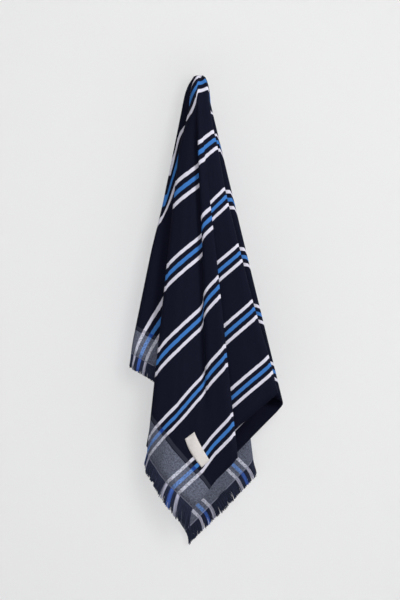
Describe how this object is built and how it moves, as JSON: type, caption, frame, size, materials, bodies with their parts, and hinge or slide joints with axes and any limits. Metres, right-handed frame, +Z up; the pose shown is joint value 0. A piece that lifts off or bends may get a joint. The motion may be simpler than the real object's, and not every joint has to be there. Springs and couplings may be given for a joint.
{
  "type": "beach towel",
  "caption": "Striped beach towel folded double and hung by a point near its middle, so that it falls in long pleats, with fringed ends and a small bare label.",
  "frame": {"origin": "the point that the towel hangs from, at its top, midway through the doubled cloth", "axes": "+Z up, -Y out of the front, which carries the label, and +X to the right of a viewer who faces the front"},
  "size_m": [0.2443, 0.1543, 0.7433],
  "materials": {
    "woven_cloth": "woven cotton, navy with white and blue stripes and a flat-woven grey-blue band at each end",
    "fringe": "loose cotton strands in the colours of the stripes they end",
    "label": "bare cream woven tape"
  },
  "bodies": {
    "root": {"towel": "woven_cloth", "fringe_outer": "fringe", "fringe_inner": "fringe", "label": "label"}
  },
  "joints": []
}
